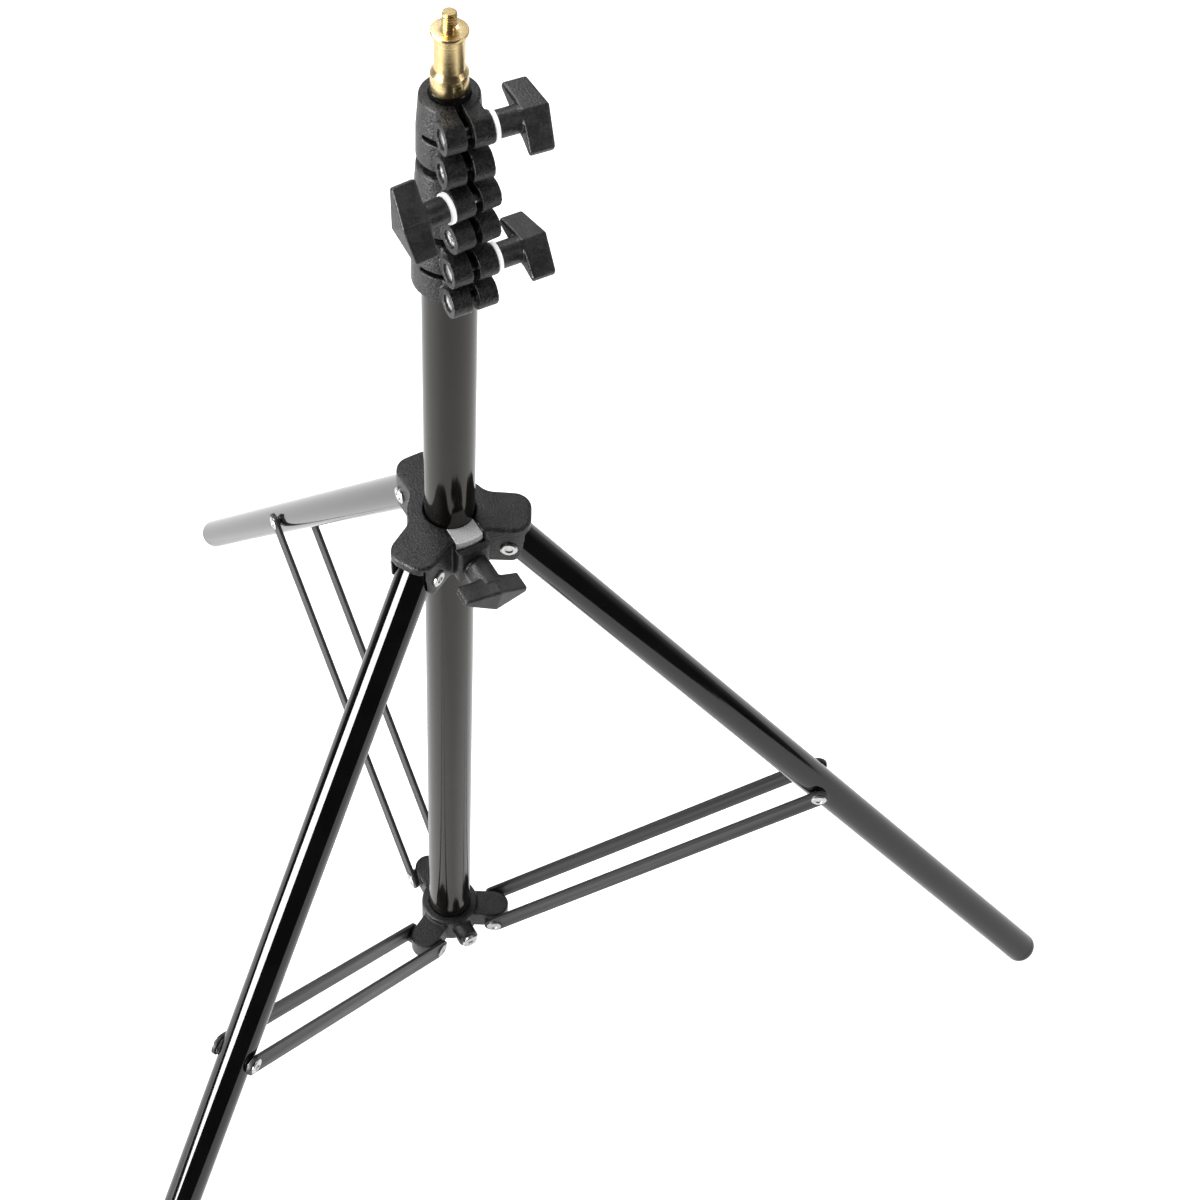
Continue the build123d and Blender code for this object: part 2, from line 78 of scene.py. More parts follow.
# %% [markdown]
# ## Shader maths as Python sums
# A finish is a small sum of noises. Written node by node it is hard to read, so one class
# wraps a socket. A + or * on it adds a Math node, and `node` makes any other node.
# %% A socket that can be used in a sum
class Flow:
    """One output socket in a material; arithmetic on it adds Math nodes."""

    def __init__(self, tree, socket=None):
        self.tree = tree
        self.socket = socket

    def node(self, kind, settings=None, values=None, out=0):
        """Any node: its settings, then the values or links of its sockets."""
        made = self.tree.nodes.new(kind)
        for name, value in (settings or {}).items():
            setattr(made, name, value)
        for name, value in (values or {}).items():
            if isinstance(value, Flow):
                self.tree.links.new(value.socket, made.inputs[name])
            else:
                made.inputs[name].default_value = value
        return Flow(self.tree, made.outputs[out])

    def maths(self, operation, *values):
        return self.node("ShaderNodeMath", {"operation": operation}, dict(enumerate(values)))

    def __add__(self, other):
        return self.maths("ADD", self, other)

    def __sub__(self, other):
        return self.maths("SUBTRACT", self, other)

    def __rsub__(self, other):
        return self.maths("SUBTRACT", other, self)

    def __mul__(self, other):
        return self.maths("MULTIPLY", self, other)

    __radd__ = __add__
    __rmul__ = __mul__

    def between(self, low, high):
        """0 below low, 1 above high, and a smooth step from one to the other."""
        return self.node("ShaderNodeMapRange", {"interpolation_type": "SMOOTHSTEP"},
                         {"Value": self, "From Min": low, "From Max": high})

    def mix(self, first, second):
        """Colour first where this is 0 and second where it is 1."""
        return self.node("ShaderNodeMix", {"data_type": "RGBA"},
                         {"Factor": self, 6: first, 7: second}, out=2)


# %% [markdown]
# ## A finish and the coordinates that it reads
# Every pattern reads Object coordinates. A finished piece sits at the origin with its place
# in its mesh, so a pattern stays put on it and doesn't slide when a joint moves. Values
# that are the same all over go straight on the shader's own sockets.
# %% Helpers for finishes
def grey(value, warmth=0.0):
    """A grey, or with some warmth a grey that leans to red."""
    return (value * (1 + warmth), value, value * (1 - warmth), 1)


def place_of(flow, stretch=(1, 1, 1)):
    """Object coordinates, stretched so that a noise can be long one way."""
    spot = flow.node("ShaderNodeTexCoord", out=3)
    return flow.node("ShaderNodeMapping", values={"Vector": spot, "Scale": stretch})


def noise(flow, where, grains_per_metre, detail=2.0):
    """Noise from 0 to 1 with so many grains to a metre."""
    return flow.node("ShaderNodeTexNoise",
                     values={"Vector": where, "Scale": grains_per_metre, "Detail": detail})


def finish(name, recipe, **constants):
    """A material: recipe(flow) returns the sockets that vary, constants are the rest."""
    material = bpy.data.materials.new(name)
    material.use_nodes = True
    tree = material.node_tree
    shader = tree.nodes["Principled BSDF"]
    for socket, value in constants.items():
        shader.inputs[socket.replace("_", " ")].default_value = value
    for socket, value in recipe(Flow(tree)).items():
        tree.links.new(value.socket, shader.inputs[socket])
    return material


def bump(flow, height, depth):
    """Depth is how far a height of 1 stands out, in metres."""
    return flow.node("ShaderNodeBump",
                     values={"Height": height, "Distance": depth, "Strength": 1.0})


# %% [markdown]
# ## Tubes: black anodised and black gloss
# The mast's tubes are drawn aluminium, polished and anodised black: the surface is a clear
# dark mirror, and it keeps faint lines along its length from the drawing die. The legs
# have thicker gloss, with the slight orange peel of a sprayed coat. Almost all of a black
# tube's look is what it reflects, so the base colour is nearly zero and roughness is low.
# %% Tube finishes
def drawn_tube(flow):
    streak = noise(flow, place_of(flow, (900, 900, 7)), 1.0, 3.0)
    cloud = noise(flow, place_of(flow), 60.0)
    return {
        "Base Color": cloud.between(0.35, 0.7).mix(grey(0.0050, 0.10), grey(0.0080, 0.12)),
        "Roughness": 0.075 + streak * 0.06 + cloud * 0.03,
        "Normal": bump(flow, streak, 0.000004),
    }


def gloss_coat(flow):
    peel = noise(flow, place_of(flow), 260.0, 1.0)
    cloud = noise(flow, place_of(flow), 45.0)
    return {
        "Base Color": cloud.between(0.35, 0.7).mix(grey(0.0030), grey(0.0048, 0.04)),
        "Roughness": 0.045 + cloud * 0.04,
        "Normal": bump(flow, peel, 0.000006),
    }


anodised = finish("anodised_tube", drawn_tube, Specular_Tint=(1, 0.95, 0.88, 1),
                  Specular_IOR_Level=0.38)
gloss = finish("gloss_tube", gloss_coat)


# %% [markdown]
# ## Moulded plastic and paint
# The clamps, the yoke and the base collar are glass-filled nylon. Their skin has a fine
# spark-eroded grain. Each moulded mesh below carries an `edge` attribute that is 1 along
# its convex edges, and the finish reads it as a mask: a painted highlight of lighter grey,
# a little less rough, along those edges, and in the bar paint a painted shade of darker grey.
# The knobs come from a polished mould, so they are smoother. The white washers glow a
# little, a painted light that keeps such thin pieces bright between black ones.
# %% Plastic and paint finishes
# The `edge` attribute as a mask for the painted edge highlight (a painted shade in the bar paint).
def painted_edge_mask(flow):
    return flow.node("ShaderNodeAttribute", {"attribute_name": "edge"}, out=2)


def grained_plastic(flow):
    where = place_of(flow)
    grain = noise(flow, where, 950.0, 4.0)
    cloud = noise(flow, where, 110.0, 3.0)
    # Painted highlight: a lighter grey along the convex edges, broken up by the cloud.
    edge = painted_edge_mask(flow) * cloud.between(0.2, 0.5)
    body = (grain * 0.75 + cloud * 0.25).between(0.36, 0.68).mix(grey(0.0035), grey(0.026))
    return {
        "Base Color": edge.mix(body, grey(0.15)),
        "Roughness": 0.20 + grain * 0.30 - edge * 0.04,
        "Normal": bump(flow, grain + cloud * 0.3, 0.0005),
    }


def satin_plastic(flow):
    where = place_of(flow)
    fine = noise(flow, where, 1000.0, 3.0)
    cloud = noise(flow, where, 130.0, 3.0)
    # Painted highlight: the edge mask mixes a lighter grey into the knob along its convex edges.
    edge = painted_edge_mask(flow)
    body = (fine * 0.5 + cloud * 0.5).between(0.34, 0.68).mix(grey(0.016), grey(0.046))
    return {
        "Base Color": edge.mix(body, grey(0.13)),
        "Roughness": 0.24 + fine * 0.16 + cloud * 0.06 - edge * 0.04,
        "Normal": bump(flow, fine, 0.00018),
    }


def bar_paint(flow):
    where = place_of(flow)
    fine = noise(flow, where, 1900.0)
    cloud = noise(flow, where, 80.0)
    # Painted shade: the edge mask mixes a darker grey into the paint along convex edges.
    edge = painted_edge_mask(flow)
    return {
        "Base Color": edge.mix(cloud.mix(grey(0.018), grey(0.026)), grey(0.010)),
        "Roughness": 0.42 + fine * 0.1,
        "Normal": bump(flow, fine, 0.00002),
    }


def plain_nylon(flow):
    cloud = noise(flow, place_of(flow), 300.0, 3.0)
    return {"Base Color": cloud.mix(grey(0.02), grey(0.032)), "Roughness": 0.45 + cloud * 0.15,
            "Normal": bump(flow, cloud, 0.00002)}


def white_washer(flow):
    cloud = noise(flow, place_of(flow), 420.0, 3.0)
    return {"Base Color": cloud.mix(grey(0.90), grey(0.97)), "Roughness": 0.34 + cloud * 0.15,
            "Normal": bump(flow, cloud, 0.00001)}


moulded = finish("moulded_black", grained_plastic, Specular_IOR_Level=0.42)
satin = finish("knob_black", satin_plastic, Specular_IOR_Level=0.5)
paint = finish("brace_paint", bar_paint)
nylon = finish("guide_nylon", plain_nylon)
washer_white = finish("white_nylon", white_washer, Emission_Color=(1, 1, 1, 1),
                      Emission_Strength=0.42)


# %% [markdown]
# ## Metals
# Rivets and screws are nickel plated, bright but finely scratched. The yoke's pressure shoe
# is raw die-cast aluminium with a sandy grain. The stud is brass straight from the lathe:
# the tool leaves fine rings, so its noise is squeezed along the height. Chemical blacking,
# which is thin and a little patchy, covers the washer under the yoke's knob.
# %% Metal finishes
def plated(flow):
    where = place_of(flow)
    scratch = noise(flow, place_of(flow, (1, 5, 2)), 900.0, 4.0)
    cloud = noise(flow, where, 350.0)
    return {
        "Base Color": cloud.mix(grey(0.50, 0.01), grey(0.66, 0.01)),
        "Roughness": 0.20 + scratch * 0.18,
        "Normal": bump(flow, scratch, 0.000008),
    }


def cast_grain(flow):
    where = place_of(flow)
    grain = noise(flow, where, 2100.0, 3.0)
    cloud = noise(flow, where, 260.0)
    # Painted highlight: the edge mask mixes a lighter grey, a little less rough, along convex
    # edges.
    edge = painted_edge_mask(flow)
    body = grain.between(0.35, 0.65).mix(grey(0.50), grey(1.0))
    return {
        "Base Color": edge.mix(body, grey(0.92)),
        "Roughness": 0.50 + cloud * 0.12 - edge * 0.12,
        "Normal": bump(flow, grain, 0.00016),
    }


def turned_brass(flow):
    rings = noise(flow, place_of(flow, (8, 8, 1500)), 1.0, 3.0)
    cloud = noise(flow, place_of(flow), 300.0, 3.0)
    shade = (rings * 0.85 + cloud * 0.15).between(0.3, 0.7)
    return {
        "Base Color": shade.mix((0.60, 0.42, 0.16, 1), (0.92, 0.74, 0.42, 1)),
        "Roughness": 0.17 + rings * 0.12 + cloud * 0.05,
        "Normal": bump(flow, rings + cloud * 0.06, 0.00004),
    }


def black_oxide(flow):
    cloud = noise(flow, place_of(flow), 500.0, 3.0)
    return {"Base Color": cloud.mix(grey(0.012), grey(0.03)), "Roughness": 0.22 + cloud * 0.16,
            "Normal": bump(flow, cloud, 0.000008)}


steel = finish("plated_steel", plated, Metallic=1.0)
oxide = finish("dark_steel", black_oxide)
cast = finish("raw_aluminium", cast_grain, Metallic=0.35)
brass = finish("brass", turned_brass, Metallic=1.0)
print("finishes", [m.name for m in bpy.data.materials if m.use_nodes])


# %% [markdown]
# ## Putting a piece in place
# A piece's object stays at the origin and its place goes into its mesh. `settle` gives a
# finished mesh its finish and the body that it rides on, and hides the CAD nodes that it
# stands for, so that no later cell has to repeat those calls.
# %% Placing helpers
def to_scene(name, mesh):
    piece = bpy.data.objects.new(name, mesh)
    scene.collection.objects.link(piece)
    return piece


def settle(piece, body, slot, material, *nodes):
    """Gives the finished piece its finish and its body and hides the nodes it replaces; the slot is
    not used.
    """
    piece.data.materials.clear()
    piece.data.materials.append(material)
    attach(piece, body)
    if nodes:
        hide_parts(*nodes)
    triangles = sum(len(p.vertices) - 2 for p in piece.data.polygons)
    print(f"{piece.name}: {triangles} triangles on {body}")
    return piece


def smooth_by_angle(mesh, degrees=32):
    """Smooth faces, with an edge kept sharp where it turns more than the angle."""
    form = bmesh.new()
    form.from_mesh(mesh)
    limit = math.radians(degrees)
    for face in form.faces:
        face.smooth = True
    for edge in form.edges:
        edge.smooth = len(edge.link_faces) == 2 and edge.calc_face_angle(0) < limit
    form.to_mesh(mesh)
    form.free()


# %% [markdown]
# ## Turned pieces
# Tubes, plugs, end caps and the stud are all turned on a lathe or drawn through a round
# die, so one function revolves an outline. The outline runs in (radius, height) pairs, from
# the bottom up on the outside. A closed outline gives a ring; one that starts and ends on
# the axis gives a solid, whose poles are one vertex each.
# %% The lathe
on_axis = 1e-9


def revolve(name, outline, steps=64, ring=False):
    """Mesh of an outline of (radius, height) in metres, revolved about Z."""
    form = bmesh.new()
    rows = []
    for radius, height in outline:
        if radius < on_axis:
            rows.append([form.verts.new((0, 0, height))] * steps)
            continue
        turns = [2 * math.pi * i / steps for i in range(steps)]
        rows.append([form.verts.new((radius * math.cos(t), radius * math.sin(t), height))
                     for t in turns])
    pairs = list(zip(rows, rows[1:]))
    if ring:
        pairs.append((rows[-1], rows[0]))
    for lower, upper in pairs:
        for i in range(steps):
            j = (i + 1) % steps
            corners = list(dict.fromkeys((lower[i], lower[j], upper[j], upper[i])))
            if len(corners) > 2:
                form.faces.new(corners)
    mesh = bpy.data.meshes.new(name)
    form.to_mesh(mesh)
    form.free()
    smooth_by_angle(mesh)
    return mesh


# %% Rounded outlines and tube walls
flattest_corner = math.radians(88)
longest_cut = 0.48


def rounded(outline, size, arc_steps=3):
    """The outline with each corner that isn't on the axis rounded to the radius size.

    An arc takes at most just under half of each side that it joins.
    """
    made = []
    count = len(outline)
    for i, (radius, height) in enumerate(outline):
        here = Vector((radius, height))
        before = Vector(outline[i - 1]) if i else None
        after = Vector(outline[i + 1]) if i + 1 < count else None
        if radius < on_axis or before is None or after is None:
            made.append((radius, height))
            continue
        back, ahead = (before - here).normalized(), (after - here).normalized()
        half = back.angle(ahead) / 2
        if half > flattest_corner:
            made.append((radius, height))
            continue
        shorter_side = min((before - here).length, (after - here).length)
        cut = min(size / math.tan(half), longest_cut * shorter_side)
        centre = here + (back + ahead).normalized() * cut / math.cos(half)
        start, end = here + back * cut - centre, here + ahead * cut - centre
        sweep = start.angle(end)
        for k in range(arc_steps + 1):
            t = k / arc_steps
            blend = start * math.sin((1 - t) * sweep) + end * math.sin(t * sweep)
            spot = centre + blend / math.sin(sweep)
            made.append((spot.x, spot.y))
    return made


def tube_outline(outer, inner, low, high, rim=0.00025):
    """Closed outline of a tube whose ends are rounded by the rim."""
    return [(outer - rim, low), (outer, low + rim), (outer, high - rim), (outer - rim, high),
            (inner + rim, high), (inner, high - rim), (inner, low + rim), (inner + rim, low)]


# %% [markdown]
# ## The floor and the light
# A glossy black tube is only as good as the room around it. The stand is on a pale table
# whose front edge is close, in a room that is dark in front and pale behind. That edge is
# what draws the black bands along the legs, and a softbox low at the left draws the white
# line along the front leg. The floor glows: full white to the camera, less in reflections,
# so that the tubes stay dark. The far floor is seen by the camera alone.
# %% Table and room
def slab(name, corners, height):
    form = bmesh.new()
    form.faces.new([form.verts.new((x, y, height)) for x, y in corners])
    mesh = bpy.data.meshes.new(name)
    form.to_mesh(mesh)
    form.free()
    made = to_scene(name, mesh)
    return made


def pale_floor(flow):
    mottle = noise(flow, place_of(flow), 2.0)
    seen = flow.node("ShaderNodeLightPath", out=0)
    return {"Base Color": mottle.mix(grey(0.84), grey(0.88)), "Roughness": 0.6 + mottle * 0.1,
            "Emission Color": seen.mix(grey(0.6), grey(1.0))}


floor_finish = finish("pale_floor", pale_floor, Emission_Strength=0.85)
table_low = (-1.25, -0.68)
table_high = (1.75, 2.6)
table = slab("table", [(table_low[0], table_low[1]), (table_high[0], table_low[1]),
                       (table_high[0], table_high[1]), (table_low[0], table_high[1])], 0.0)
far_floor = slab("far_floor", [(-30, -30), (30, -30), (30, 30), (-30, 30)], -0.0004)
for sheet in (table, far_floor):
    sheet.data.materials.append(floor_finish)
far_floor.visible_glossy = False
far_floor.visible_diffuse = False


# %% [markdown]
# Five softboxes light the stand. A lamp's energy grows with its size, so each is given by
# its brightness, which is what a glossy tube reflects. The low one at the left is left out
# of the plastic's soft light, and the one in front is left out of the tubes' reflections.
# %% Lamps
def softbox(name, centre, target, width, height, radiance, diffuse=True, glossy=True):
    """An area light of a given brightness that faces the target and isn't seen itself."""
    lamp = bpy.data.lights.new(name, "AREA")
    lamp.shape = "RECTANGLE"
    lamp.size = width
    lamp.size_y = height
    lamp.energy = radiance * math.pi * width * height
    made = bpy.data.objects.new(name, lamp)
    scene.collection.objects.link(made)
    made.location = centre
    made.rotation_euler = (Vector(target) - Vector(centre)).to_track_quat("-Z", "Y").to_euler()
    made.visible_camera = False
    made.visible_diffuse = diffuse
    made.visible_glossy = glossy
    return made


middle = (0, 0, 0.5)
clamps_height = (0, 0, 0.6)
front_leg = (-0.1, -0.15, 0.3)
softbox("strip_left", (-1.44, -0.86, 0.62), front_leg, 1.0, 0.9, 26, diffuse=False)
softbox("overhead", (-0.5, 0.9, 2.2), middle, 0.9, 0.7, 8.0)
softbox("side_left", (-1.6, 0.1, 1.9), clamps_height, 0.9, 0.9, 10.0)
softbox("side_right", (1.9, -0.5, 1.6), clamps_height, 0.9, 0.9, 3.0)
softbox("front_fill", (1.3, -1.9, 1.5), clamps_height, 1.4, 1.2, 4.5, glossy=False)
print("lamps", [lamp.name for lamp in bpy.data.lights])


# %% [markdown]
# The room is a sky with no picture in it: its brightness follows only the direction, dark
# in front and overhead, pale behind. The camera itself sees a plain pale backdrop.
# %% Room brightness
dark_in_front = 0.04
pale_behind = 0.46
backdrop = 1.05


def room():
    world = bpy.data.worlds.new("room")
    scene.world = world
    world.use_nodes = True
    flow = Flow(world.node_tree)
    direction = flow.node("ShaderNodeTexCoord", out=0)
    depth = flow.node("ShaderNodeSeparateXYZ", values={"Vector": direction}, out=1)
    glow = depth.between(-0.1, 0.7) * pale_behind + dark_in_front
    seen = flow.node("ShaderNodeLightPath", out=0)
    background = world.node_tree.nodes["Background"]
    strength = glow * (1 - seen) + seen * backdrop
    world.node_tree.links.new(strength.socket, background.inputs["Strength"])
    background.inputs["Color"].default_value = (1, 1, 1, 1)


room()

# %% [markdown]
# ## Sizes that several pieces share
# These repeat the CAD model's driving sizes, in millimetres and degrees, because each piece
# is rebuilt around the same axes. Every leg and every pair of bars is the same piece turned
# about the mast. A leg's frame has Z up the leg from its rivet in the yoke, and a brace's
# frame has Z up the bars from their rivet in the base collar.
# %% Shared sizes and frames
leg_turns = (0, 120, 240)
tube_r = [12.75, 11.35, 9.95, 8.55]
tube_wall = 1.1
leg_r = 9.5
leg_wall = 1.0
leg_tilt = 39.05
yoke_pivot = (30.2, 423.0)
base_pivot = (28.7, 34.3)
brace_length = 246.25
brace_tilt = 48.618
yoke_cheek = 12.6
bar_face = 12.4
spacer_face = 9.78
rivet_head = {"Head Radius": 4.45, "Head Height": 1.2, "Dimple Radius": 2.3, "Dimple Depth": 0.7}
stud_thread = (740.4, 747.3)
pin_play = 0.06
bodies = ("mast_base", "riser_1", "riser_2", "riser_3")


def about_z(degrees):
    return Matrix.Rotation(math.radians(degrees), 4, "Z")


def about_y(degrees):
    return Matrix.Rotation(math.radians(degrees), 4, "Y")


def shift(x, y, z):
    """A move given in millimetres."""
    return Matrix.Translation((x * MM, y * MM, z * MM))


def leg_frame(turn):
    return about_z(turn) @ shift(yoke_pivot[0], 0, yoke_pivot[1]) @ about_y(-leg_tilt)


def brace_frame(turn):
    return about_z(turn) @ shift(base_pivot[0], 0, base_pivot[1]) @ about_y(brace_tilt)


# %% [markdown]
# ## The mast and its three risers
# Each tube is a drawn tube cut square, with its cut edge broken by a file. The lathe gives
# it 96 sides and both of its walls, so the open ends are real. The heights come from the
# CAD nodes' own boxes.
# %% Mast tubes
tube_sides = 96


def mast_piece(i):
    node = "mast_tube" if i == 0 else f"riser_tube_{i}"
    low, high = (corner.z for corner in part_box(node))
    outline = tube_outline(tube_r[i] * MM, (tube_r[i] - tube_wall) * MM, low, high)
    mesh = revolve(node, outline, tube_sides, ring=True)
    piece = to_scene(node.replace("_tube", "_skin"), mesh)
    return settle(piece, bodies[i], "anodised_tube", anodised, node)


for i in range(4):
    mast_piece(i)


# %% [markdown]
# ## The legs
# A leg is a gloss tube with a plug in its head and a rounded cap pressed into its foot.
# The rivet at the head passes through both walls, so the hole is cut with a Boolean: a
# bmesh route would need the same intersection by hand.
# %% Keeping a modifier's result, and cutting with a pin
def applied(piece):
    """Replaces the piece's mesh by what its modifiers make of it."""
    depsgraph = bpy.context.evaluated_depsgraph_get()
    result = bpy.data.meshes.new_from_object(piece.evaluated_get(depsgraph))
    piece.modifiers.clear()
    piece.data = result
    return result


def cut(piece, cutter_mesh):
    """Cuts the cutter's volume out of the piece and keeps the result as its mesh."""
    cutter = to_scene("cutter", cutter_mesh)
    tool = piece.modifiers.new("cut", "BOOLEAN")
    tool.operation = "DIFFERENCE"
    tool.solver = "EXACT"
    tool.object = cutter
    bpy.context.view_layer.update()
    applied(piece)
    bpy.data.objects.remove(cutter)


def cross_pin(radius, half_length):
    """A pin along Y through the leg's pivot, in the leg's frame, in millimetres."""
    radius, end = radius * MM, half_length * MM
    mesh = revolve("pin", [(0, -end), (radius, -end), (radius, end), (0, end)], 40)
    mesh.transform(Matrix.Rotation(math.radians(90), 4, "X"))
    return mesh


def in_place(piece, place):
    """Moves the piece's mesh to its place and leaves the object at the origin."""
    piece.data.transform(place)
    piece.data.update()


# %% Leg tubes, plugs and feet
leg_length = 539.07
leg_cap = 6.0
leg_head = 6.0
plug_rim = 1.5
plug_depth = 14.0
plug_r = leg_r - leg_wall
foot_round = 4.0
leg_pin_r = 3.0


def scaled(outline):
    """An outline in millimetres, given in metres."""
    return [(radius * MM, height * MM) for radius, height in outline]


end = -leg_length
low = end + leg_cap
skin = tube_outline(leg_r * MM, plug_r * MM, low * MM, leg_head * MM, 0.0002)
plug_line = scaled([(0, -plug_depth), (plug_r, -plug_depth), (plug_r, leg_head),
                    (leg_r, leg_head), (leg_r, leg_head + plug_rim), (0, leg_head + plug_rim)])
corner = scaled([(0, end), (leg_r, end), (leg_r, end + 3 * foot_round)])
dome = rounded(corner, foot_round * MM, 10)[:-1]
spigot = scaled([(leg_r, low), (plug_r, low), (plug_r, low + plug_depth), (0, low + plug_depth)])
for number, turn in enumerate(leg_turns, start=1):
    tube = to_scene(f"leg_skin_{number}", revolve("leg", skin, tube_sides, ring=True))
    plug = to_scene(f"leg_plug_{number}", revolve("plug", rounded(plug_line, 0.8 * MM), 64))
    for piece in (tube, plug):
        cut(piece, cross_pin(leg_pin_r + pin_play, 20))
        smooth_by_angle(piece.data)
    foot = to_scene(f"leg_end_{number}", revolve("foot", dome + spigot, tube_sides))
    for piece, node in ((tube, "leg_tube"), (plug, "leg_head"), (foot, "leg_foot")):
        in_place(piece, leg_frame(turn))
        settle(piece, f"leg_{number}", "gloss_tube", gloss, f"{node}_{number}")

# %% [markdown]
# ## Moulded pieces from their CAD solids
# The clamps, the yoke, the base collar and the knobs are injection moulded, and no edge on
# a moulding is sharp. A bevel on a CAD solid breaks where curved faces meet, so each copy
# is merged, remeshed in small voxels and smoothed: that rounds every edge the same way, as
# a mould does. The remeshed skin also says where its convex edges are, as the mask for
# the painted edge highlight.
# %% A merged copy and the mask of its painted edge highlight
weld = 0.000002
# Bends where the painted edge highlight begins and where it is full.
highlight_bends = (260, 900)


def merged_copy(node):
    """A copy of a CAD node's mesh with its loose triangles joined."""
    form = bmesh.new()
    form.from_mesh(frame["nodes"][node].data)
    bmesh.ops.remove_doubles(form, verts=form.verts, dist=weld)
    mesh = bpy.data.meshes.new(node)
    form.to_mesh(mesh)
    form.free()
    return mesh


def mark_edges(mesh, low, high, passes=2):
    """Writes the attribute `edge`: 0 up to the bend low and 1 from the bend high.

    A bend is one over twice the radius of a rounded edge, in metres.
    """
    count = len(mesh.vertices)
    spots = np.zeros(count * 3)
    normals = np.zeros(count * 3)
    mesh.vertices.foreach_get("co", spots)
    mesh.vertices.foreach_get("normal", normals)
    spots, normals = spots.reshape(-1, 3), normals.reshape(-1, 3)
    ends = np.zeros(len(mesh.edges) * 2, int)
    mesh.edges.foreach_get("vertices", ends)
    a, b = ends.reshape(-1, 2).T
    links = np.maximum(np.bincount(a, minlength=count) + np.bincount(b, minlength=count), 1)

    def average(values_a, values_b):
        total = np.bincount(a, values_a, count) + np.bincount(b, values_b, count)
        return total / links

    gap = spots[a] - spots[b]
    length = np.maximum((gap ** 2).sum(1), 1e-14)
    bend = average((gap * normals[a]).sum(1) / length, -(gap * normals[b]).sum(1) / length)
    for _ in range(passes):
        bend = 0.5 * bend + 0.5 * average(bend[b], bend[a])
    # How much painted edge highlight each vertex gets, from 0 to 1.
    highlight = np.clip((bend - low) / (high - low), 0, 1)
    mesh.attributes.new("edge", "FLOAT", "POINT").data.foreach_set("value", highlight.astype(np.float32))
    return float(highlight.mean())


# %% A remeshed copy
def moulded_copy(name, node, voxel, smoothing, keep):
    """A merged, remeshed and smoothed copy of a CAD node, with the mask of its painted edge
    highlight marked.

    The voxel is in millimetres, and keep is the share of faces that stay.
    """
    piece = to_scene(name, merged_copy(node))
    skin = piece.modifiers.new("skin", "REMESH")
    skin.mode = "VOXEL"
    skin.voxel_size = voxel * MM
    skin.adaptivity = 0.0
    relax = piece.modifiers.new("relax", "SMOOTH")
    relax.factor = 0.5
    relax.iterations = smoothing
    if keep < 1:
        thin = piece.modifiers.new("thin", "DECIMATE")
        thin.ratio = keep
    result = applied(piece)
    for face in result.polygons:
        face.use_smooth = True
    # The mask of the painted edge highlight, and its mean share of the skin.
    highlight = mark_edges(result, *highlight_bends)
    print(f"{name}: {len(result.vertices)} vertices, worn share {highlight:.3f}")
    return piece


# %% Clamps, yoke, base collar, shoe
for i in range(3):
    piece = moulded_copy(f"clamp_{i + 1}", f"collar_{i + 1}", 0.42, 6, 0.5)
    settle(piece, bodies[i], "moulded_black", moulded, f"collar_{i + 1}")
piece = moulded_copy("yoke_moulding", "yoke_casting", 0.6, 6, 0.5)
settle(piece, "yoke", "moulded_black", moulded, "yoke_casting")
piece = moulded_copy("foot_collar", "base_collar", 0.5, 6, 0.5)
settle(piece, "mast_base", "moulded_black", moulded, "base_collar")
piece = moulded_copy("pressure_shoe", "yoke_clamp_shoe", 0.25, 4, 1.0)
settle(piece, "yoke_clamp", "raw_aluminium", cast, "yoke_clamp_shoe")

# %% Knobs
for i in range(3):
    piece = moulded_copy(f"wing_knob_{i + 1}", f"clamp_knob_{i + 1}", 0.34, 7, 0.6)
    settle(piece, f"knob_{i + 1}", "knob_black", satin, f"clamp_knob_{i + 1}")
piece = moulded_copy("wing_knob_yoke", "yoke_knob", 0.34, 7, 0.6)
settle(piece, "yoke_knob", "knob_black", satin, "yoke_knob")

# %% [markdown]
# ## Rivets by a rule
# Every joint of the legs and braces is a rivet with the same flat, dimpled head. Twelve
# heads by hand would be twelve chances to differ, so one Geometry Nodes tree makes them:
# each point says where a head bears, which way it faces and how long its shank is. One head
# of a rivet carries the whole shank, and the other a short stub. The dimple is pressed by
# moving the rings of a cylinder's top face.
# %% The tree's sockets and its result
def new_tree(name, sizes):
    """An empty Geometry Nodes tree with a float input for each size, and its inputs."""
    tree = bpy.data.node_groups.new(name, "GeometryNodeTree")
    tree.interface.new_socket("Points", in_out="INPUT", socket_type="NodeSocketGeometry")
    for size in sizes:
        tree.interface.new_socket(size, in_out="INPUT", socket_type="NodeSocketFloat")
    tree.interface.new_socket("Finish", in_out="INPUT", socket_type="NodeSocketMaterial")
    tree.interface.new_socket("Made", in_out="OUTPUT", socket_type="NodeSocketGeometry")
    start = tree.nodes.new("NodeGroupInput")
    return Flow(tree), {socket.name: Flow(tree, socket) for socket in start.outputs if socket.name}


def end_tree(flow, shapes, finish_socket):
    """Joins the shapes, realises them, sets the finish and links the result."""
    joined = flow.tree.nodes.new("GeometryNodeJoinGeometry")
    for shape in shapes:
        flow.tree.links.new(shape.socket, joined.inputs[0])
    real = flow.node("GeometryNodeRealizeInstances", values={0: Flow(flow.tree, joined.outputs[0])})
    made = flow.node("GeometryNodeSetMaterial",
                     values={"Geometry": real, "Material": finish_socket})
    flow.tree.links.new(made.socket, flow.tree.nodes.new("NodeGroupOutput").inputs[0])
    return flow.tree


